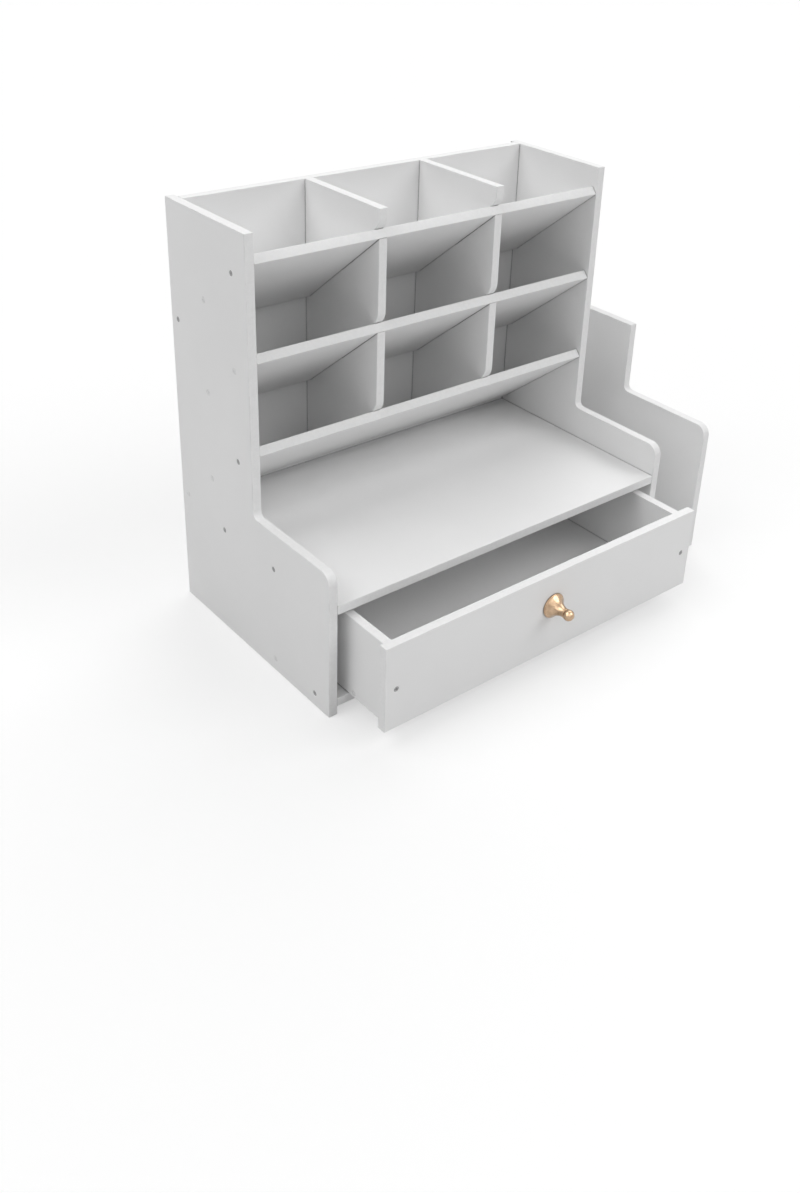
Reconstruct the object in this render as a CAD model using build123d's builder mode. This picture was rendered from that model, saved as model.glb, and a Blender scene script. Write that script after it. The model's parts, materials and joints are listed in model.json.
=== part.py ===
from build123d import *
import os
from math import atan, cos, degrees, pi, radians, sin, tan

# Desk organizer of screwed white boards: nine slanted pen compartments, a shelf,
# one drawer under the shelf and an open file rack on the right-hand side.
# The drawer stands a little open. Millimetres, +Z up, the front faces -Y, and the
# origin lies on the floor under the centre of the whole footprint.

os.makedirs("parts", exist_ok=True)

# Boards
board = 6.0

# Upright side panels, deep below the step and shallow above it
body_width = 276.0
body_height = 272.0
body_depth = 163.5
upper_depth = 85.8
step_height = 98.5
step_corner_radius = 8.0
inner_corner_radius = 4.0

# File rack beside the right side panel
rack_slot_width = 45.5
rack_panel_height = 150.0

# Back panel, bottom board and shelf
back_recess = 4.0
bottom_lift = 5.6
drawer_bay_height = 58.7

# Slanted boards, high in front, whose rear corners stop at the back panel. The lowest
# ends a little above the shelf and the highest a little below the top edge.
slant_angle = 38.5
slant_count = 3
slant_shelf_gap = 4.3
slant_top_drop = 13.1
slant_rear_gap = 0.2

# Upright dividers, half-lapped into the slanted boards
divider_count = 2
lap_clearance = 0.1
finger_radius = 10.0

# Drawer, at rest partly open
drawer_open = 41.0
drawer_end_gap = 3.0
drawer_floor_gap = 0.3
drawer_front_height = 57.5
drawer_rear_gap = 3.0
drawer_side_inset = 5.0
drawer_side_drop = 3.2

# Turned knob with a wide foot, a hollow waist and a small round tip
knob_length = 17.0
knob_foot_radius = 9.0
knob_foot_rim = 1.2
knob_neck_radius = 3.4
knob_tip_radius = 4.4
knob_rise = 5.5
knob_bore_depth = 8.0

# Knob screw, put in from inside the drawer
knob_screw_radius = 2.0
knob_screw_head_radius = 3.6
knob_screw_head_height = 2.2
knob_screw_end_gap = 1.0

# Countersunk board screws, so small that they and their holes are eight-sided
screw_length = 20.0
screw_radius = 1.0
screw_head_radius = 2.0
screw_head_depth = 1.0
screw_sides = 8
screw_clearance = 0.05
screw_end_gap = 1.0

# Screw places, each measured from the front edge or lower edge of the board it holds
bottom_screw_insets = (15.0, 57.0)
shelf_screw_insets = (57.0, 112.5)
slant_screw_inset_front = 17.0
slant_screw_inset_rear = 34.5
back_screw_margin = 73.5
rack_floor_screw_insets = (30.0, 110.0)
rack_back_screw_margin = 35.0
drawer_bottom_screw_insets = (30.0, 100.0)

# Heights and depths that follow
overall_width = body_width + rack_slot_width + board
overall_depth = body_depth + drawer_open + knob_length
left_x = -overall_width / 2
inner_left_x = left_x + board
body_right_x = left_x + body_width
inner_right_x = body_right_x - board
rack_inner_x = body_right_x + rack_slot_width
rack_right_x = rack_inner_x + board
inner_width = inner_right_x - inner_left_x
body_middle_x = (inner_left_x + inner_right_x) / 2

back_y = overall_depth / 2
front_y = back_y - body_depth
upper_front_y = back_y - upper_depth
back_panel_rear_y = back_y - back_recess
back_panel_front_y = back_panel_rear_y - board
back_panel_middle_y = back_panel_rear_y - board / 2
shelf_depth = back_panel_front_y - front_y

bottom_top_z = bottom_lift + board
shelf_z = bottom_top_z + drawer_bay_height
shelf_top_z = shelf_z + board

# Slanted boards: length from front to back panel, height of the lowest front corner,
# and the equal spacing that leaves the drop above the highest one
slant = radians(slant_angle)
slant_run = back_panel_front_y - slant_rear_gap - board * sin(slant) - upper_front_y
slant_length = slant_run / cos(slant)
slant_front_z = shelf_top_z + slant_shelf_gap + slant_run * tan(slant)
highest_front_z = body_height - slant_top_drop - board * cos(slant)
slant_pitch = (highest_front_z - slant_front_z) / (slant_count - 1)
lap_length = slant_length / 2 + lap_clearance
lap_width = board + 2 * lap_clearance

# Dividers stand at equal spacing
cell_width = (inner_width - divider_count * board) / (divider_count + 1)
divider_middles = [
    inner_left_x + (k + 1) * (cell_width + board) - board / 2 for k in range(divider_count)
]

# Drawer
drawer_left_x = inner_left_x + drawer_end_gap + drawer_side_inset
drawer_right_x = inner_right_x - drawer_end_gap - drawer_side_inset
drawer_inner_left_x = drawer_left_x + board
drawer_inner_right_x = drawer_right_x - board
drawer_z = bottom_top_z + drawer_floor_gap
drawer_side_height = drawer_front_height - drawer_side_drop
drawer_face_y = front_y - drawer_open
drawer_box_y = drawer_face_y + board
drawer_box_depth = shelf_depth - board - drawer_rear_gap
drawer_rear_y = drawer_box_y + drawer_box_depth
drawer_front_screw_z = drawer_z + drawer_side_height / 2
knob_z = drawer_z + drawer_front_height / 2 + knob_rise


def slant_point(rank, along, above):
    """Point beside slanted board number rank, seen from the side."""
    y = upper_front_y + along * cos(slant) + above * sin(slant)
    z = slant_front_z + rank * slant_pitch - along * sin(slant) + above * cos(slant)
    return (y, z)


def side_planes(x, outward, places):
    """Planes on an upright face at x, one for each (y, z) place, facing outward."""
    return [Plane(origin=(x, y, z), z_dir=(outward, 0, 0)) for y, z in places]


def screw_form(length, room):
    """Board screw on the Z axis, its head flush with the origin, grown by room all round."""
    flat_step = (screw_head_radius - screw_radius) * cos(pi / screw_sides)
    with BuildPart() as form:
        with BuildSketch():
            RegularPolygon(screw_head_radius + room, screw_sides)
        extrude(amount=-screw_head_depth)
        head_flats = faces().filter_by(Axis.Z, reverse=True)
        draft(head_flats, Plane.XY, -degrees(atan(flat_step / screw_head_depth)))
        extrude(faces().sort_by(Axis.Z)[0], amount=length - screw_head_depth)
    return form.part


board_screw = screw_form(screw_length, 0)
screw_hole = screw_form(screw_length + screw_end_gap, screw_clearance)


def drill(planes):
    """Holes for board screws whose heads lie in these planes."""
    with Locations(*planes):
        add(screw_hole, mode=Mode.SUBTRACT)


def stepped_board(x, top_z):
    """Upright board, deep at the foot and shallower above the step."""
    with BuildSketch(Plane.YZ.offset(x)) as outline:
        with BuildLine():
            Polyline(
                (back_y, 0),
                (front_y, 0),
                (front_y, step_height),
                (upper_front_y, step_height),
                (upper_front_y, top_z),
                (back_y, top_z),
                close=True,
            )
        make_face()
        inner_corner = vertices().group_by(Axis.X)[1].sort_by(Axis.Y)[0]
        fillet(inner_corner, inner_corner_radius)
        step_corner = vertices().group_by(Axis.X)[0].sort_by(Axis.Y)[-1]
        fillet(step_corner, step_corner_radius)
    extrude(outline.sketch, amount=board)


def level_board(x_from, x_to, y_from, y_to, z):
    """Flat board with its underside at z."""
    with BuildSketch(Plane.XY.offset(z)) as outline:
        with Locations(((x_from + x_to) / 2, (y_from + y_to) / 2)):
            Rectangle(x_to - x_from, y_to - y_from)
    extrude(outline.sketch, amount=board)


def upright_board(x_from, x_to, z_from, z_to, rear_y):
    """Board that faces the front, with its rear face at rear_y."""
    with BuildSketch(Plane.XZ.offset(-rear_y)) as outline:
        with Locations(((x_from + x_to) / 2, (z_from + z_to) / 2)):
            Rectangle(x_to - x_from, z_to - z_from)
    extrude(outline.sketch, amount=board)


def save(builder, name):
    builder.part.label = name
    export_step(builder.part, f"parts/{name}.step")


# Places of the screws as (y, z), in the plane of the side panels
def slant_places(rank):
    insets = (slant_screw_inset_front, slant_length - slant_screw_inset_rear)
    return [slant_point(rank, inset, board / 2) for inset in insets]


bottom_places = [(front_y + inset, bottom_lift + board / 2) for inset in bottom_screw_insets]
shelf_places = [(front_y + inset, shelf_z + board / 2) for inset in shelf_screw_insets]
back_places = [
    (back_panel_middle_y, bottom_lift + back_screw_margin),
    (back_panel_middle_y, body_height - back_screw_margin),
]
side_places = bottom_places + shelf_places + back_places
for rank in range(slant_count):
    side_places += slant_places(rank)

rack_floor_places = [
    (front_y + inset, bottom_lift + board / 2) for inset in rack_floor_screw_insets
]
rack_back_places = [
    (back_panel_middle_y, bottom_lift + rack_back_screw_margin),
    (back_panel_middle_y, rack_panel_height - rack_back_screw_margin),
]
rack_places = rack_floor_places + rack_back_places

drawer_bottom_places = [
    (drawer_box_y + inset, drawer_z + board / 2) for inset in drawer_bottom_screw_insets
]
drawer_back_places = [(drawer_rear_y - board / 2, drawer_z + (board + drawer_side_height) / 2)]
drawer_side_places = drawer_bottom_places + drawer_back_places


def body_planes(places):
    """Planes on the outer faces of both side panels of the body."""
    return side_planes(left_x, -1, places) + side_planes(body_right_x, 1, places)


def rack_planes(places):
    """Planes for the file rack's screws, inside the body and on the rack's outer face."""
    return side_planes(inner_right_x, -1, places) + side_planes(rack_right_x, 1, places)


def drawer_planes(places):
    """Planes on the outer faces of both drawer sides."""
    return side_planes(drawer_left_x, -1, places) + side_planes(drawer_right_x, 1, places)


# Side panels of the body
with BuildPart() as left_side_panel:
    stepped_board(left_x, body_height)
    drill(side_planes(left_x, -1, side_places))

with BuildPart() as right_side_panel:
    stepped_board(inner_right_x, body_height)
    drill(side_planes(body_right_x, 1, side_places))
    drill(side_planes(inner_right_x, -1, rack_places))

# Back panel, bottom board and shelf between the side panels
with BuildPart() as back_panel:
    upright_board(inner_left_x, inner_right_x, bottom_lift, body_height, back_panel_rear_y)
    drill(body_planes(back_places))

with BuildPart() as bottom_board:
    level_board(inner_left_x, inner_right_x, front_y, back_panel_front_y, bottom_lift)
    drill(body_planes(bottom_places))

with BuildPart() as shelf_board:
    level_board(inner_left_x, inner_right_x, front_y, back_panel_front_y, shelf_z)
    drill(body_planes(shelf_places))

# Slanted boards. Those above the lowest are notched from behind for the dividers.
slanted_boards = {}
for rank, name in enumerate(("lower", "middle", "upper")):
    corner_y, corner_z = slant_point(rank, 0, 0)
    underside = Plane(
        origin=(body_middle_x, corner_y, corner_z),
        x_dir=(1, 0, 0),
        z_dir=(0, sin(slant), cos(slant)),
    )
    with BuildPart() as slanted_board:
        with BuildSketch(underside):
            Rectangle(inner_width, slant_length, align=(Align.CENTER, Align.MIN))
            if rank > 0:
                with Locations(*[(x - body_middle_x, slant_length) for x in divider_middles]):
                    Rectangle(
                        lap_width,
                        lap_length,
                        align=(Align.CENTER, Align.MAX),
                        mode=Mode.SUBTRACT,
                    )
        extrude(amount=board)
        drill(body_planes(slant_places(rank)))
    slanted_boards[f"{name}_slanted_board"] = slanted_board

# Dividers: slotted from the front for the middle and upper boards, with the foot
# cut along the lowest board and each finger rounded where it meets a board
foot_front_z = slant_front_z + board / cos(slant)
foot_back_z = foot_front_z - (back_panel_front_y - upper_front_y) * tan(slant)
slot_overrun = 2 * board
dividers = {}
for name, middle_x in zip(("left", "right"), divider_middles):
    with BuildPart() as divider:
        with BuildSketch(Plane.YZ.offset(middle_x - board / 2)):
            with BuildLine():
                Polyline(
                    (back_panel_front_y, body_height),
                    (upper_front_y, body_height),
                    (upper_front_y, foot_front_z),
                    (back_panel_front_y, foot_back_z),
                    close=True,
                )
            make_face()
            for rank in range(1, slant_count):
                with BuildLine():
                    Polyline(
                        slant_point(rank, -slot_overrun, -lap_clearance),
                        slant_point(rank, lap_length, -lap_clearance),
                        slant_point(rank, lap_length, board + lap_clearance),
                        slant_point(rank, -slot_overrun, board + lap_clearance),
                        close=True,
                    )
                make_face(mode=Mode.SUBTRACT)
            front_corners = vertices().group_by(Axis.X)[0].sort_by(Axis.Y)
            fillet(front_corners[:-1:2], finger_radius)
        extrude(amount=board)
    dividers[f"{name}_divider"] = divider

# File rack
with BuildPart() as rack_panel:
    stepped_board(rack_inner_x, rack_panel_height)
    drill(side_planes(rack_right_x, 1, rack_places))

with BuildPart() as rack_floor:
    level_board(body_right_x, rack_inner_x, front_y, back_panel_front_y, bottom_lift)
    drill(rack_planes(rack_floor_places))

with BuildPart() as rack_back:
    upright_board(
        body_right_x, rack_inner_x, bottom_lift, rack_panel_height, back_panel_rear_y
    )
    drill(rack_planes(rack_back_places))

# Drawer box
drawer_front_planes = [
    Plane(origin=(x, drawer_face_y, drawer_front_screw_z), z_dir=(0, -1, 0))
    for x in (drawer_left_x + board / 2, drawer_right_x - board / 2)
]
knob_seat = Plane(origin=(body_middle_x, drawer_face_y, knob_z), z_dir=(0, -1, 0))

with BuildPart() as drawer_front:
    upright_board(
        inner_left_x + drawer_end_gap,
        inner_right_x - drawer_end_gap,
        drawer_z,
        drawer_z + drawer_front_height,
        drawer_box_y,
    )
    drill(drawer_front_planes)
    with Locations(knob_seat):
        Hole(knob_screw_radius + screw_clearance)

drawer_sides = {}
for name, side_x in (("left", drawer_left_x), ("right", drawer_inner_right_x)):
    with BuildPart() as drawer_side:
        with BuildSketch(Plane.YZ.offset(side_x)):
            with Locations((drawer_box_y, drawer_z)):
                Rectangle(drawer_box_depth, drawer_side_height, align=(Align.MIN, Align.MIN))
        extrude(amount=board)
        drill(drawer_planes(drawer_side_places))
        drill(drawer_front_planes)
    drawer_sides[f"drawer_{name}_side"] = drawer_side

with BuildPart() as drawer_bottom:
    level_board(
        drawer_inner_left_x, drawer_inner_right_x, drawer_box_y, drawer_rear_y, drawer_z
    )
    drill(drawer_planes(drawer_bottom_places))

with BuildPart() as drawer_back:
    upright_board(
        drawer_inner_left_x,
        drawer_inner_right_x,
        drawer_z + board,
        drawer_z + drawer_side_height,
        drawer_rear_y,
    )
    drill(drawer_planes(drawer_back_places))

# Turned knob, drilled from its foot
knob_axis = Axis((body_middle_x, drawer_face_y, knob_z), (0, -1, 0))
knob_section = Plane(
    origin=(body_middle_x, drawer_face_y, knob_z), x_dir=(1, 0, 0), z_dir=(0, 0, 1)
)
tip_centre = knob_length - knob_tip_radius
neck_end = tip_centre - (knob_tip_radius**2 - knob_neck_radius**2) ** 0.5

with BuildPart() as drawer_knob:
    with BuildSketch(knob_section):
        with BuildLine():
            Polyline(
                (0, -neck_end),
                (0, 0),
                (knob_foot_radius, 0),
                (knob_foot_radius, -knob_foot_rim),
            )
            TangentArc(
                (knob_neck_radius, -neck_end),
                (knob_foot_radius, -knob_foot_rim),
                tangent=(0, 1),
            )
            ThreePointArc(
                (knob_neck_radius, -neck_end),
                (knob_tip_radius, -tip_centre),
                (0, -knob_length),
            )
            Line((0, -knob_length), (0, -neck_end))
        make_face()
    revolve(axis=knob_axis)
    with Locations(knob_seat.reverse()):
        Hole(knob_screw_radius + screw_clearance, knob_bore_depth)

with BuildPart() as knob_screw:
    with BuildSketch(knob_section):
        with BuildLine():
            Polyline(
                (0, knob_screw_end_gap - knob_bore_depth),
                (knob_screw_radius, knob_screw_end_gap - knob_bore_depth),
                (knob_screw_radius, board),
                (knob_screw_head_radius, board),
                (knob_screw_head_radius, board + knob_screw_head_height),
                (0, board + knob_screw_head_height),
                close=True,
            )
        make_face()
    revolve(axis=knob_axis)

# Screws in their places, one group for each panel that they go through
screw_planes = {
    "left_side_screws": side_planes(left_x, -1, side_places),
    "right_side_screws": side_planes(body_right_x, 1, side_places),
    "rack_inner_screws": side_planes(inner_right_x, -1, rack_places),
    "rack_outer_screws": side_planes(rack_right_x, 1, rack_places),
    "drawer_front_screws": drawer_front_planes,
    "drawer_side_screws": drawer_planes(drawer_side_places),
}
screw_groups = {}
for name, planes in screw_planes.items():
    with BuildPart() as screw_group:
        with Locations(*planes):
            add(board_screw)
    screw_groups[name] = screw_group

named_boards = {
    "left_side_panel": left_side_panel,
    "right_side_panel": right_side_panel,
    "back_panel": back_panel,
    "bottom_board": bottom_board,
    "shelf_board": shelf_board,
    "rack_panel": rack_panel,
    "rack_floor": rack_floor,
    "rack_back": rack_back,
    "drawer_front": drawer_front,
    "drawer_bottom": drawer_bottom,
    "drawer_back": drawer_back,
    "drawer_knob": drawer_knob,
    "knob_screw": knob_screw,
}
for group in (named_boards, slanted_boards, dividers, drawer_sides, screw_groups):
    for name, builder in group.items():
        save(builder, name)
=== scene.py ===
import json
from math import asin, cos, degrees, pi, radians, sin, sqrt

import bmesh
import bpy
from mathutils import Matrix, Vector


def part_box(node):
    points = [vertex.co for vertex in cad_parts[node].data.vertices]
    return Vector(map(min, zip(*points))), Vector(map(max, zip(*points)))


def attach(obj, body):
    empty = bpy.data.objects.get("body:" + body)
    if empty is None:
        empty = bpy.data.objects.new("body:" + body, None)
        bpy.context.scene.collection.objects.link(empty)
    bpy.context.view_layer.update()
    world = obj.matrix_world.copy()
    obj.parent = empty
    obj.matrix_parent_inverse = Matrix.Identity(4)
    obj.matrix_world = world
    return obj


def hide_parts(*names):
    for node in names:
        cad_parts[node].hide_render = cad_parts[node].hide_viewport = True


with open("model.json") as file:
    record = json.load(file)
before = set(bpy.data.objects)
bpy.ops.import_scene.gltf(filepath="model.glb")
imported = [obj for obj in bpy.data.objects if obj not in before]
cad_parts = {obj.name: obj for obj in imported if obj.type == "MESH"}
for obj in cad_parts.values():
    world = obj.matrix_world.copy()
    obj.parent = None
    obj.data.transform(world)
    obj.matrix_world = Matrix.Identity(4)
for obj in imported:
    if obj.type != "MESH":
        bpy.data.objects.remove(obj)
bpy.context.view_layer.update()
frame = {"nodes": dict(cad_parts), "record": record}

# Desk organizer of white lacquered boards held by small countersunk screws, with a
# turned brass knob on its drawer. Metres, +Z up, the front faces -Y.

# Boards
board = 0.006
slant = radians(38.5)
eased_edge = 0.00045
eased_segments = 3

# What tells a board's faces apart: the cosine between a face and the board's broad face,
# and the turn from one face to the next
broad_cosine = 0.999
edge_cosine = 0.5
same_flat_turn = radians(0.5)
corner_turn = radians(30)

# Points of a mesh this close together are one point
cad_merge = 1e-6
turned_merge = 1e-7

# Countersunk board screws, with depths counted from the board's face
screw_length = 0.020
head_radius = 0.0020
head_depth = 0.0010
head_rim = 0.00006
head_chamfer = 0.0001
head_sunk = 0.00025
covered_head_sunk = 0.00004
shank_radius = 0.0010
shank_room = 0.00004
thread_root_radius = 0.00072
thread_start = 0.0060
thread_pitch = 0.0009
point_length = 0.0022
point_room = 0.0001
screw_steps = 28
turn_between_heads = 37

# Digits of a screw's place that count when a group's screws are put in order
place_digits = 5

# Holes for the board screws, whose cutter stands a little proud of the face
hole_room = 0.00005
cutter_proud = 0.0004

# Cross recesses, as the arm's reach and half width and the depth below the punch's top
punch_proud = 0.0003
punch_taper = 0.6
board_screw_cross = (0.00115, 0.00022, 0.0009)
knob_screw_cross = (0.0020, 0.00035, 0.0018)

# Heads that the white lacquer covers, as (y, z) for each group of screws
side_panel_covered = (
    (0.0717, 0.2209),
    (0.0401, 0.1878),
    (0.0717, 0.1627),
    (0.0717, 0.1044),
    (0.1037, 0.0791),
    (0.0042, 0.0086),
)
covered_heads = {
    "left_side_screws": side_panel_covered,
    "right_side_screws": side_panel_covered,
    "drawer_side_screws": ((-0.0577, 0.0149),),
}

# Turned knob
knob_length = 0.017
foot_radius = 0.0083
foot_rim = 0.0012
foot_roll = 0.00045
neck_radius = 0.0029
bead_radius = 0.0003
bead_drop = 0.0001
tip_radius = 0.0036
knob_bore_radius = 0.00205
knob_bore_depth = 0.008
knob_steps = 96

# Arcs of the knob's profile: where they start and end, in degrees, and their steps
foot_roll_end = 80
waist_gap = 2
bead_sweep = (-60, 90)
dome_gap = 5
roll_steps = 6
waist_steps = 28
bead_steps = 8
dome_steps = 24

# Pan-head screw of the knob
pan_height = 0.0022
pan_roll = 0.0009
shaft_radius = 0.002
plain_shaft = 0.0062
groove_depth = 0.0004
groove_pitch = 0.0007
knob_screw_steps = 40

# Order of the finishes on a board and on a group of screws
face_slot, edge_slot, corner_slot = 0, 1, 2
bare_slot, covered_slot = 0, 1

# Sockets of a Mix node that mixes colours
mix_share, mix_first, mix_second, mix_result = 0, 6, 7, 2

# Range that most of a random pattern keeps to
pattern_low, pattern_high = 0.3, 0.7

# Shade in the joints: how far and how often it looks round, the openness where it is full
# and where it ends, and the grey that it darkens to
joint_reach = 0.0016
joint_samples = 8
joint_closed = 0.25
joint_open = 0.8
joint_shade = 0.45

# Camera, worked out from the straight edges in the photograph
camera_azimuth = radians(-40.96474)
camera_elevation = radians(27.22799)
camera_roll = radians(2.67155)
camera_place = (-0.48827, -0.51582, 0.47008)
focal_length = 36.83
frame_width = 36
frame_shift = (-0.0349, -0.1238)
nearest_seen = 0.01

# Lamps, as the direction's azimuth and elevation, the strength and the spread, in degrees
lamps = {
    "left": (-86, 36, 0.72, 50),
    "left_above": (-120, 60, 0.88, 45),
    "front": (-15, 40, 0.57, 55),
    "front_right": (40, 40, 1.10, 40),
    "right_behind": (125, 42, 1.35, 55),
}
floor_bounce = 0.70
floor_glow = 0.5
floor_reach = 6
floor_drop = 0.0001

rear = Vector((0, 1, 0))
front = Vector((0, -1, 0))
left = Vector((-1, 0, 0))
right = Vector((1, 0, 0))
top = Vector((0, 0, 1))
slant_top = Vector((0, sin(slant), cos(slant)))

# The way each board's broad face looks, and the groups of screws that go into it
boards = {
    "left_side_panel": (left, ("left_side_screws",)),
    "right_side_panel": (right, ("right_side_screws", "rack_inner_screws")),
    "back_panel": (front, ("left_side_screws", "right_side_screws")),
    "bottom_board": (top, ("left_side_screws", "right_side_screws")),
    "shelf_board": (top, ("left_side_screws", "right_side_screws")),
    "lower_slanted_board": (slant_top, ("left_side_screws", "right_side_screws")),
    "middle_slanted_board": (slant_top, ("left_side_screws", "right_side_screws")),
    "upper_slanted_board": (slant_top, ("left_side_screws", "right_side_screws")),
    "left_divider": (right, ()),
    "right_divider": (right, ()),
    "rack_panel": (right, ("rack_outer_screws",)),
    "rack_floor": (top, ("rack_inner_screws", "rack_outer_screws")),
    "rack_back": (front, ("rack_inner_screws", "rack_outer_screws")),
    "drawer_front": (front, ("drawer_front_screws",)),
    "drawer_left_side": (left, ("drawer_side_screws", "drawer_front_screws")),
    "drawer_right_side": (right, ("drawer_side_screws", "drawer_front_screws")),
    "drawer_bottom": (top, ("drawer_side_screws",)),
    "drawer_back": (front, ("drawer_side_screws",)),
}
screw_groups = (
    "left_side_screws",
    "right_side_screws",
    "rack_inner_screws",
    "rack_outer_screws",
    "drawer_front_screws",
    "drawer_side_screws",
)
body_of = {
    node: body
    for body, nodes in frame["record"]["behaviour"]["bodies"].items()
    for node in nodes
}


# Materials


def add_node(tree, kind, **settings):
    """Shader node with its settings."""
    node = tree.nodes.new(kind)
    for name, value in settings.items():
        setattr(node, name, value)
    return node


def noise(tree, coordinates, scale, detail, roughness=0.5):
    """Soft random pattern, about this many patches to a metre."""
    node = add_node(tree, "ShaderNodeTexNoise")
    node.inputs["Scale"].default_value = scale
    node.inputs["Detail"].default_value = detail
    node.inputs["Roughness"].default_value = roughness
    tree.links.new(coordinates, node.inputs["Vector"])
    return node.outputs["Fac"]


def grey(value):
    """Colour with no tint, from black at 0 to white at 1."""
    return (value, value, value)


def ramp(tree, factor, low, high, dark, light):
    """Colour that runs from dark to light as the factor goes from low to high."""
    node = add_node(tree, "ShaderNodeValToRGB")
    node.color_ramp.elements[0].position = low
    node.color_ramp.elements[1].position = high
    node.color_ramp.elements[0].color = (*dark, 1)
    node.color_ramp.elements[1].color = (*light, 1)
    tree.links.new(factor, node.inputs["Fac"])
    return node.outputs["Color"]


def spread(tree, pattern, low, high):
    """The middle range of a random pattern mapped to values from low to high."""
    node = add_node(tree, "ShaderNodeMapRange")
    node.inputs["From Min"].default_value = pattern_low
    node.inputs["From Max"].default_value = pattern_high
    node.inputs["To Min"].default_value = low
    node.inputs["To Max"].default_value = high
    tree.links.new(pattern, node.inputs["Value"])
    return node.outputs["Result"]


def bump(tree, height, strength, distance, normal=None):
    """Small relief of this height, on top of another where one is given."""
    node = add_node(tree, "ShaderNodeBump")
    node.inputs["Strength"].default_value = strength
    node.inputs["Distance"].default_value = distance
    tree.links.new(height, node.inputs["Height"])
    if normal is not None:
        tree.links.new(normal, node.inputs["Normal"])
    return node.outputs["Normal"]


def shaded_joints(tree, colour):
    """The colour, darker where two boards meet and the light hardly reaches."""
    nearness = add_node(tree, "ShaderNodeAmbientOcclusion", samples=joint_samples)
    nearness.inputs["Distance"].default_value = joint_reach
    openness = nearness.outputs["AO"]
    shade = ramp(tree, openness, joint_closed, joint_open, grey(joint_shade), grey(1))
    mixing = add_node(tree, "ShaderNodeMix", data_type="RGBA", blend_type="MULTIPLY")
    mixing.inputs[mix_share].default_value = 1
    tree.links.new(colour, mixing.inputs[mix_first])
    tree.links.new(shade, mixing.inputs[mix_second])
    return mixing.outputs[mix_result]


def blank_material(name):
    """Material with its shader and the coordinates of the object."""
    material = bpy.data.materials.new(name)
    material.use_nodes = True
    tree = material.node_tree
    shader = tree.nodes["Principled BSDF"]
    coordinates = add_node(tree, "ShaderNodeTexCoord").outputs["Object"]
    return material, tree, shader, coordinates


def white_lacquer():
    """Sprayed white face: faint clouds in the white and a fine orange peel."""
    material, tree, shader, coordinates = blank_material("white_lacquer")
    clouds = noise(tree, coordinates, 14, detail=3)
    white = ramp(tree, clouds, 0.3, 0.7, grey(0.855), grey(0.885))
    tree.links.new(shaded_joints(tree, white), shader.inputs["Base Color"])
    dull_spots = noise(tree, coordinates, 60, detail=3)
    tree.links.new(spread(tree, dull_spots, 0.42, 0.56), shader.inputs["Roughness"])
    long_waves = bump(tree, noise(tree, coordinates, 45, detail=1), 0.25, 0.0004)
    orange_peel = bump(tree, noise(tree, coordinates, 900, detail=2), 0.2, 0.00004, long_waves)
    tree.links.new(orange_peel, shader.inputs["Normal"])
    shader.inputs["Specular IOR Level"].default_value = 0.25
    return material


def white_edge():
    """Sawn edge under the lacquer: a fine grain and a drier surface."""
    material, tree, shader, coordinates = blank_material("white_edge")
    grain = noise(tree, coordinates, 420, detail=4, roughness=0.65)
    white = ramp(tree, grain, 0.3, 0.75, grey(0.84), grey(0.89))
    tree.links.new(shaded_joints(tree, white), shader.inputs["Base Color"])
    tree.links.new(spread(tree, grain, 0.55, 0.72), shader.inputs["Roughness"])
    tree.links.new(bump(tree, grain, 0.35, 0.00012), shader.inputs["Normal"])
    shader.inputs["Specular IOR Level"].default_value = 0.2
    return material


def worn_edge():
    """Rounded corner between face and edge, where the white is rubbed a little thin."""
    material, tree, shader, coordinates = blank_material("worn_edge")
    rubbing = noise(tree, coordinates, 70, detail=6, roughness=0.7)
    white = ramp(tree, rubbing, 0.45, 0.75, grey(0.87), grey(0.74))
    tree.links.new(shaded_joints(tree, white), shader.inputs["Base Color"])
    tree.links.new(spread(tree, rubbing, 0.40, 0.60), shader.inputs["Roughness"])
    return material


def screw_steel():
    """Dull zinc-plated steel with small stains."""
    material, tree, shader, coordinates = blank_material("screw_steel")
    stains = noise(tree, coordinates, 1500, detail=4)
    metal = ramp(tree, stains, 0.3, 0.7, grey(0.32), grey(0.44))
    tree.links.new(metal, shader.inputs["Base Color"])
    tree.links.new(spread(tree, stains, 0.38, 0.55), shader.inputs["Roughness"])
    tree.links.new(bump(tree, stains, 0.3, 0.00002), shader.inputs["Normal"])
    shader.inputs["Metallic"].default_value = 0.9
    return material


def lacquered_head():
    """Screw head that the sprayer covered: white, with the metal showing faintly."""
    material, tree, shader, coordinates = blank_material("lacquered_head")
    thin_spots = noise(tree, coordinates, 900, detail=3, roughness=0.6)
    white = ramp(tree, thin_spots, 0.4, 0.75, grey(0.84), grey(0.62))
    tree.links.new(white, shader.inputs["Base Color"])
    tree.links.new(spread(tree, thin_spots, 0.45, 0.60), shader.inputs["Roughness"])
    tree.links.new(bump(tree, thin_spots, 0.2, 0.00003), shader.inputs["Normal"])
    return material


def knob_brass():
    """Polished rose brass, with soft clouds in its shine."""
    material, tree, shader, coordinates = blank_material("knob_brass")
    tarnish = noise(tree, coordinates, 220, detail=4, roughness=0.6)
    metal = ramp(tree, tarnish, 0.35, 0.7, (0.56, 0.40, 0.27), (0.38, 0.26, 0.16))
    tree.links.new(metal, shader.inputs["Base Color"])
    tree.links.new(spread(tree, tarnish, 0.16, 0.30), shader.inputs["Roughness"])
    shader.inputs["Metallic"].default_value = 1.0
    return material


lacquer = white_lacquer()
edge_finish = white_edge()
worn_finish = worn_edge()
steel = screw_steel()
head_lacquer = lacquered_head()
brass = knob_brass()


# Meshes


def new_object(name, bm):
    """Object at the origin that holds this mesh."""
    mesh = bpy.data.meshes.new(name)
    bm.to_mesh(mesh)
    bm.free()
    piece = bpy.data.objects.new(name, mesh)
    bpy.context.scene.collection.objects.link(piece)
    return piece


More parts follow.
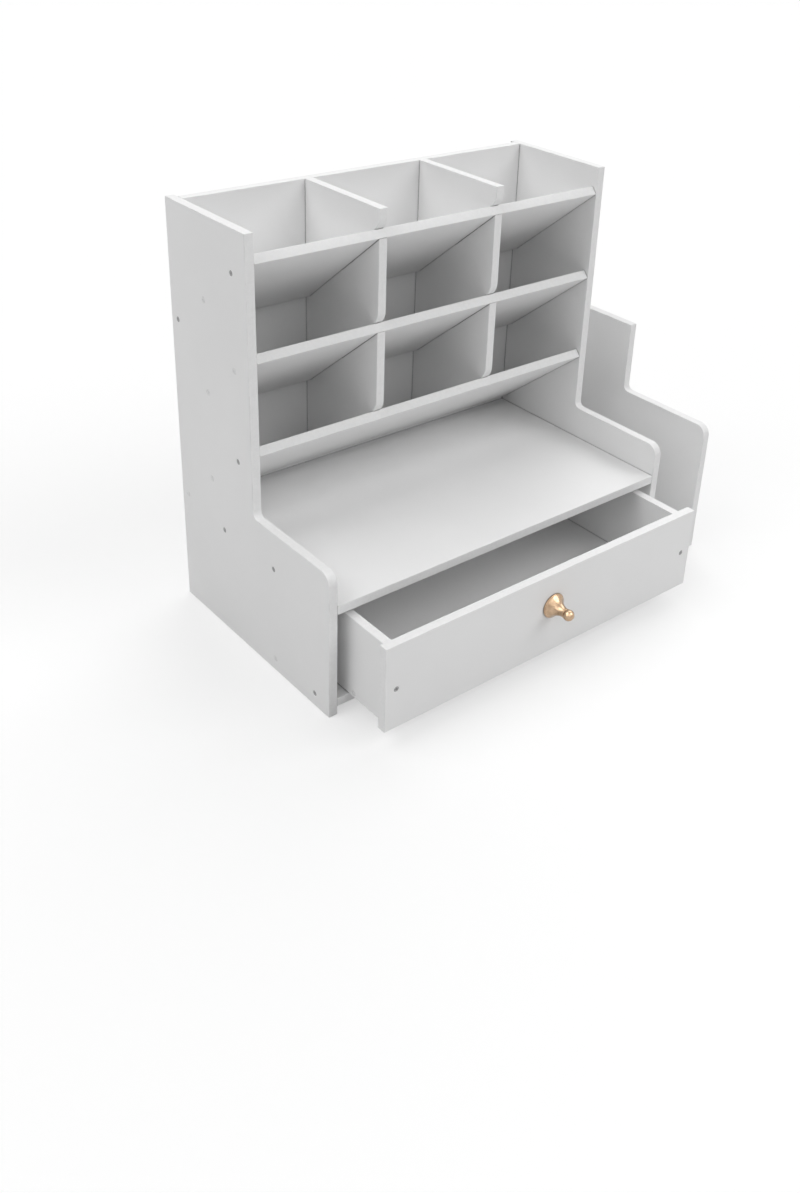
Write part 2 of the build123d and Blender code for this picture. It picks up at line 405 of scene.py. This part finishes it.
def node_mesh(node):
    """Merged copy of a CAD node's mesh."""
    bm = bmesh.new()
    bm.from_mesh(frame["nodes"][node].data)
    bmesh.ops.remove_doubles(bm, verts=bm.verts, dist=cad_merge)
    bm.normal_update()
    return bm


def separate_solids(bm):
    """Groups of vertices that edges join."""
    unseen = set(bm.verts)
    groups = []
    while unseen:
        reached = [unseen.pop()]
        group = []
        while reached:
            vert = reached.pop()
            group.append(vert)
            for edge in vert.link_edges:
                other = edge.other_vert(vert)
                if other in unseen:
                    unseen.remove(other)
                    reached.append(other)
        groups.append(group)
    return groups


def standing(place, way):
    """Matrix that stands +Z this way from this place."""
    return Matrix.Translation(place) @ way.to_track_quat("Z", "Y").to_matrix().to_4x4()


def rear_seat(low, high, way):
    """Matrix that stands +Z this way from the middle of a box's rear side."""
    return standing(((low.x + high.x) / 2, high.y, (low.z + high.z) / 2), way)


def by_place(place):
    """What a group's screws are put in order by, so that the order is the same on each run."""
    return [round(value, place_digits) for value in place.translation]


def screw_seats(node):
    """For each screw of a group, the matrix that stands +Z out of its head."""
    bm = node_mesh(node)
    places = []
    for group in separate_solids(bm):
        points = [vert.co.copy() for vert in group]
        low = Vector([min(point[k] for point in points) for k in range(3)])
        high = Vector([max(point[k] for point in points) for k in range(3)])
        middle = (low + high) / 2
        span = high - low
        along = max(range(3), key=lambda k: span[k])
        axis = Vector([float(k == along) for k in range(3)])
        widest = max(
            points, key=lambda point: (point - middle - axis * (point - middle).dot(axis)).length
        )
        if (widest - middle).dot(axis) < 0:
            axis = -axis
        places.append(standing(middle + axis * span[along] / 2, axis))
    bm.free()
    return sorted(places, key=by_place)


def turned(profile, steps):
    """Mesh turned about +Z from (radius, height) points."""
    bm = bmesh.new()
    verts = [bm.verts.new((radius, 0, height)) for radius, height in profile]
    edges = [bm.edges.new(pair) for pair in zip(verts, verts[1:])]
    bmesh.ops.spin(
        bm,
        geom=verts + edges,
        cent=(0, 0, 0),
        axis=(0, 0, 1),
        angle=2 * pi,
        steps=steps,
        use_merge=True,
    )
    bmesh.ops.remove_doubles(bm, verts=bm.verts, dist=turned_merge)
    bmesh.ops.recalc_face_normals(bm, faces=bm.faces)
    return bm


def pushed(bm, faces, way):
    """The faces swept this way into a solid, and the vertices of its far end."""
    swept = bmesh.ops.extrude_face_region(bm, geom=faces)
    far_end = [item for item in swept["geom"] if isinstance(item, bmesh.types.BMVert)]
    bmesh.ops.translate(bm, vec=way, verts=far_end)
    return far_end


def repeated(copies):
    """One mesh of copies, given as (mesh, place, slot of the finish)."""
    bm = bmesh.new()
    for mesh, place, slot in copies:
        verts_before = len(bm.verts)
        faces_before = len(bm.faces)
        bm.from_mesh(mesh)
        bm.verts.ensure_lookup_table()
        bm.faces.ensure_lookup_table()
        bmesh.ops.transform(bm, matrix=place, verts=bm.verts[verts_before:])
        for face in bm.faces[faces_before:]:
            face.material_index = slot
    return bm


def cut_away(piece, cutter):
    """The cutter's shape taken out of the piece."""
    modifier = piece.modifiers.new("cut", "BOOLEAN")
    modifier.operation = "DIFFERENCE"
    modifier.solver = "EXACT"
    modifier.object = cutter
    whole_mesh = piece.data
    cut_mesh = bpy.data.meshes.new_from_object(
        piece.evaluated_get(bpy.context.evaluated_depsgraph_get())
    )
    piece.modifiers.clear()
    piece.data = cut_mesh
    bpy.data.meshes.remove(whole_mesh)
    cut_mesh.name = piece.name
    bpy.data.objects.remove(cutter)


def soften(piece, angle=40):
    """Smooth shading up to this angle, with flats kept flat."""
    piece.data.shade_smooth()
    piece.data.set_sharp_from_angle(angle=radians(angle))
    flats = piece.modifiers.new("flats", "WEIGHTED_NORMAL")
    flats.keep_sharp = True
    flats.weight = 100


def dress(piece, node, slot, *materials):
    """The piece stands for its CAD node, rides where it rides and wears these materials."""
    for material in materials:
        piece.data.materials.append(material)
    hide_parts(node)
    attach(piece, body_of[node])


# Boards


def hole_mesh():
    """Countersunk hole and pilot bore."""
    mouth_radius = head_radius + hole_room
    bore_radius = shank_radius + hole_room
    bore_end = -screw_length - hole_room
    bm = turned(
        [
            (0, cutter_proud),
            (mouth_radius, cutter_proud),
            (mouth_radius, 0),
            (bore_radius, -head_depth),
            (bore_radius, bore_end),
            (0, bore_end),
        ],
        screw_steps,
    )
    mesh = bpy.data.meshes.new("hole")
    bm.to_mesh(mesh)
    bm.free()
    return mesh


def by_a_screw(point, places):
    """Whether a point on a board's face is on the rim of a screw's hole."""
    rim = head_radius + 2 * hole_room
    return any((place.inverted() @ point).xy.length < rim for place in places)


def board_blank(node, normal, places):
    """Board with the CAD outline and no holes yet, its corners eased."""
    bm = node_mesh(node)
    level = max(vert.co.dot(normal) for vert in bm.verts)
    others = [
        face
        for face in bm.faces
        if face.normal.dot(normal) < broad_cosine
        or face.calc_center_median().dot(normal) < level - board / 2
    ]
    bmesh.ops.delete(bm, geom=others, context="FACES")
    hole_rims = [
        edge
        for edge in bm.edges
        if edge.is_boundary and all(by_a_screw(vert.co, places) for vert in edge.verts)
    ]
    if hole_rims:
        bmesh.ops.holes_fill(bm, edges=hole_rims, sides=0)
    bmesh.ops.dissolve_limit(bm, angle_limit=same_flat_turn, verts=bm.verts, edges=bm.edges)
    pushed(bm, bm.faces[:], -normal * board)
    bmesh.ops.recalc_face_normals(bm, faces=bm.faces)
    for face in bm.faces:
        on_edge = abs(face.normal.dot(normal)) < edge_cosine
        face.material_index = edge_slot if on_edge else face_slot
    corners = [edge for edge in bm.edges if edge.calc_face_angle(0) > corner_turn]
    eased = bmesh.ops.bevel(
        bm,
        geom=corners,
        offset=eased_edge,
        offset_type="OFFSET",
        segments=eased_segments,
        profile=0.5,
        affect="EDGES",
        clamp_overlap=True,
        material=-1,
        loop_slide=False,
    )
    for face in eased["faces"]:
        face.material_index = corner_slot
    return bm


def make_boards(seats):
    """Every board, with the holes of the screws that go into it."""
    hole = hole_mesh()
    for node, (normal, groups) in boards.items():
        places = [place for group in groups for place in seats[group]]
        piece = new_object(f"{node}_finished", board_blank(node, normal, places))
        if places:
            holes = repeated([(hole, place, face_slot) for place in places])
            cut_away(piece, new_object("holes", holes))
        soften(piece)
        dress(piece, node, "white_board", lacquer, edge_finish, worn_finish)
    bpy.data.meshes.remove(hole)


# Screws


def cross_punch(cross, level):
    """Cross-shaped punch, narrower at its point, that hangs down from this level."""
    reach, half_width, depth = cross
    bm = bmesh.new()
    arm = [(reach, -half_width), (reach, half_width), (half_width, half_width)]
    points = []
    for quarter in range(4):
        turn = Matrix.Rotation(quarter * pi / 2, 3, "Z")
        points += [turn @ Vector((x, y, level)) for x, y in arm]
    face = bm.faces.new([bm.verts.new(point) for point in points])
    point_end = pushed(bm, [face], (0, 0, -depth))
    bmesh.ops.scale(bm, vec=(punch_taper, punch_taper, 1), verts=point_end)
    bmesh.ops.recalc_face_normals(bm, faces=bm.faces)
    return bm


def board_screw_mesh(name, sunk, recessed):
    """Countersunk wood screw, its head sunk a little, with ridges of thread and a point."""
    body_radius = shank_radius - shank_room
    rim_radius = head_radius - sunk - head_rim
    thread_end = -screw_length + point_length
    profile = [
        (0, -sunk),
        (rim_radius - head_chamfer, -sunk),
        (rim_radius, -sunk - head_rim),
        (body_radius, -head_depth - shank_room),
        (body_radius, -thread_start),
    ]
    # One ridge of the thread, as (share of the pitch, radius)
    ridge = ((0.2, thread_root_radius), (0.7, thread_root_radius), (0.95, body_radius))
    for turn in range(int((-thread_start - thread_end) / thread_pitch)):
        height = -thread_start - turn * thread_pitch
        profile += [(radius, height - share * thread_pitch) for share, radius in ridge]
    profile += [(thread_root_radius, thread_end), (0, -screw_length + point_room)]
    piece = new_object(name, turned(profile, screw_steps))
    if recessed:
        cut_away(piece, new_object("punch", cross_punch(board_screw_cross, punch_proud - sunk)))
    mesh = piece.data
    bpy.data.objects.remove(piece)
    return mesh


def is_covered(group, place):
    """Whether the lacquer covers the head of this group at this place."""
    spot = place.translation
    spots = covered_heads.get(group, ())
    return any((spot.y - y) ** 2 + (spot.z - z) ** 2 < head_radius**2 for y, z in spots)


def make_board_screws(seats):
    """Every group of board screws, each head turned a little from the one before."""
    bare = board_screw_mesh("bare_screw", head_sunk, recessed=True)
    covered = board_screw_mesh("covered_screw", covered_head_sunk, recessed=False)
    for group, places in seats.items():
        copies = []
        finishes = [steel]
        for number, place in enumerate(places):
            turn = Matrix.Rotation(radians(turn_between_heads * number % 90), 4, "Z")
            if is_covered(group, place):
                copies.append((covered, place @ turn, covered_slot))
                finishes = [steel, head_lacquer]
            else:
                copies.append((bare, place @ turn, bare_slot))
        piece = new_object(f"{group}_finished", repeated(copies))
        soften(piece, angle=35)
        dress(piece, group, "board_screw", *finishes)
    bpy.data.meshes.remove(bare)
    bpy.data.meshes.remove(covered)


# Knob


def arc(middle, radius, start, end, steps):
    """Points of an arc in (radius, height), angles in degrees."""
    angles = [radians(start + (end - start) * step / steps) for step in range(steps + 1)]
    return [(middle[0] + radius * cos(a), middle[1] + radius * sin(a)) for a in angles]


def make_knob():
    """Turned knob: rolled foot, hollow waist, a bead and a domed tip, bored for its screw."""
    low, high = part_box("drawer_knob")
    tip_middle = knob_length - tip_radius
    neck_end = tip_middle - sqrt(tip_radius**2 - neck_radius**2)
    rise = neck_end - foot_rim
    flare = foot_radius - neck_radius
    waist_radius = (flare**2 + rise**2) / (2 * flare)
    waist_middle = (neck_radius + waist_radius, neck_end)
    waist_start = 180 + degrees(asin(rise / waist_radius)) - waist_gap
    dome_start = -degrees(asin((tip_middle - neck_end) / tip_radius)) + dome_gap
    rolled = foot_radius - foot_roll
    profile = [(0, knob_bore_depth), (knob_bore_radius, knob_bore_depth), (knob_bore_radius, 0)]
    profile += arc((rolled, foot_roll), foot_roll, -90, 0, roll_steps)
    profile += arc((rolled, foot_rim - foot_roll), foot_roll, 0, foot_roll_end, roll_steps)
    profile += arc(waist_middle, waist_radius, waist_start, 180 + waist_gap, waist_steps)
    profile += arc((neck_radius, neck_end - bead_drop), bead_radius, *bead_sweep, bead_steps)
    profile += arc((0, tip_middle), tip_radius, dome_start, 90, dome_steps)
    bm = turned(profile, knob_steps)
    bmesh.ops.transform(bm, matrix=rear_seat(low, high, front), verts=bm.verts)
    piece = new_object("drawer_knob_finished", bm)
    soften(piece, angle=50)
    dress(piece, "drawer_knob", "gold_knob", brass)


def make_knob_screw():
    """Pan-head machine screw with a cross recess, its head inside the drawer."""
    low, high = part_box("knob_screw")
    pan_radius = (high.x - low.x) / 2
    length = high.y - low.y
    root_radius = shaft_radius - groove_depth
    grooves_start = pan_height + plain_shaft
    profile = [(0, 0), (pan_radius - pan_roll, 0)]
    profile += arc((pan_radius - pan_roll, -pan_roll), pan_roll, 90, 0, roll_steps)
    profile += [(pan_radius, -pan_height), (shaft_radius, -pan_height)]
    profile += [(shaft_radius, -grooves_start)]
    for groove in range(int((length - grooves_start) / groove_pitch)):
        height = -grooves_start - groove * groove_pitch
        profile += [(root_radius, height - 0.5 * groove_pitch)]
        profile += [(shaft_radius, height - groove_pitch)]
    profile += [(root_radius, -length), (0, -length)]
    piece = new_object("knob_screw_finished", turned(profile, knob_screw_steps))
    cut_away(piece, new_object("punch", cross_punch(knob_screw_cross, punch_proud)))
    piece.data.transform(rear_seat(low, high, rear))
    soften(piece, angle=35)
    dress(piece, "knob_screw", "knob_screw", steel)


# Studio


def direction(azimuth, elevation):
    """Unit vector towards this direction, with azimuth counted from the front."""
    return Vector(
        (sin(azimuth) * cos(elevation), -cos(azimuth) * cos(elevation), sin(elevation))
    )


def make_camera():
    """Camera at the photograph's place, with its frame shifted as the photograph's is."""
    back = direction(camera_azimuth, camera_elevation)
    level = (-back).cross(top).normalized()
    upright = level.cross(-back)
    across = level * cos(camera_roll) + upright * sin(camera_roll)
    up = -level * sin(camera_roll) + upright * cos(camera_roll)
    place = Matrix((across, up, back)).transposed().to_4x4()
    place.translation = camera_place
    lens = bpy.data.cameras.new("camera")
    lens.lens = focal_length
    lens.sensor_width = frame_width
    lens.shift_x, lens.shift_y = frame_shift
    lens.clip_start = nearest_seen
    camera = bpy.data.objects.new("camera", lens)
    camera.matrix_world = place
    bpy.context.scene.collection.objects.link(camera)
    bpy.context.scene.camera = camera


def soft_lamp(name, azimuth, elevation, strength, spread_angle):
    """Broad even lamp, as far off as a window, that shines from this direction."""
    lamp = bpy.data.lights.new(name, "SUN")
    lamp.energy = strength
    lamp.angle = radians(spread_angle)
    holder = bpy.data.objects.new(name, lamp)
    towards = direction(radians(azimuth), radians(elevation))
    holder.rotation_euler = towards.to_track_quat("Z", "Y").to_euler()
    bpy.context.scene.collection.objects.link(holder)


def seen_directly(tree):
    """One for rays from the camera, mirrors and glass, and nought for the rest."""
    path = add_node(tree, "ShaderNodeLightPath")
    seen = path.outputs["Is Camera Ray"]
    for output in ("Is Glossy Ray", "Is Transmission Ray"):
        either = add_node(tree, "ShaderNodeMath", operation="MAXIMUM")
        tree.links.new(seen, either.inputs[0])
        tree.links.new(path.outputs[output], either.inputs[1])
        seen = either.outputs[0]
    return seen


def make_world():
    """White backdrop that is seen and mirrored, but sheds no light."""
    world = bpy.data.worlds.new("studio")
    bpy.context.scene.world = world
    world.use_nodes = True
    tree = world.node_tree
    background = tree.nodes["Background"]
    colour = ramp(tree, seen_directly(tree), 0, 1, grey(0), grey(1))
    tree.links.new(colour, background.inputs["Color"])
    background.inputs["Strength"].default_value = 1


def make_floor():
    """Pale floor: white to the eye, with a glow of its own that keeps the shadow faint."""
    bm = bmesh.new()
    bmesh.ops.create_grid(bm, x_segments=1, y_segments=1, size=floor_reach)
    bmesh.ops.translate(bm, vec=(0, 0, -floor_drop), verts=bm.verts)
    floor = new_object("floor", bm)
    material = bpy.data.materials.new("floor_paper")
    material.use_nodes = True
    tree = material.node_tree
    shader = tree.nodes["Principled BSDF"]
    shader.inputs["Roughness"].default_value = 1
    shader.inputs["Specular IOR Level"].default_value = 0
    seen = seen_directly(tree)
    colour = ramp(tree, seen, 0, 1, grey(floor_bounce), grey(1))
    tree.links.new(colour, shader.inputs["Base Color"])
    paper_glow = add_node(tree, "ShaderNodeEmission")
    share = add_node(tree, "ShaderNodeMath", operation="MULTIPLY")
    share.inputs[1].default_value = floor_glow
    tree.links.new(seen, share.inputs[0])
    mixing = add_node(tree, "ShaderNodeMixShader")
    tree.links.new(share.outputs[0], mixing.inputs[0])
    tree.links.new(shader.outputs[0], mixing.inputs[1])
    tree.links.new(paper_glow.outputs[0], mixing.inputs[2])
    tree.links.new(mixing.outputs[0], tree.nodes["Material Output"].inputs["Surface"])
    floor.data.materials.append(material)


bpy.context.scene.view_settings.view_transform = "Standard"
make_camera()
make_floor()
make_world()
for name, (azimuth, elevation, strength, spread_angle) in lamps.items():
    soft_lamp(name, azimuth, elevation, strength, spread_angle)

seats = {group: screw_seats(group) for group in screw_groups}
make_boards(seats)
make_board_screws(seats)
make_knob()
make_knob_screw()
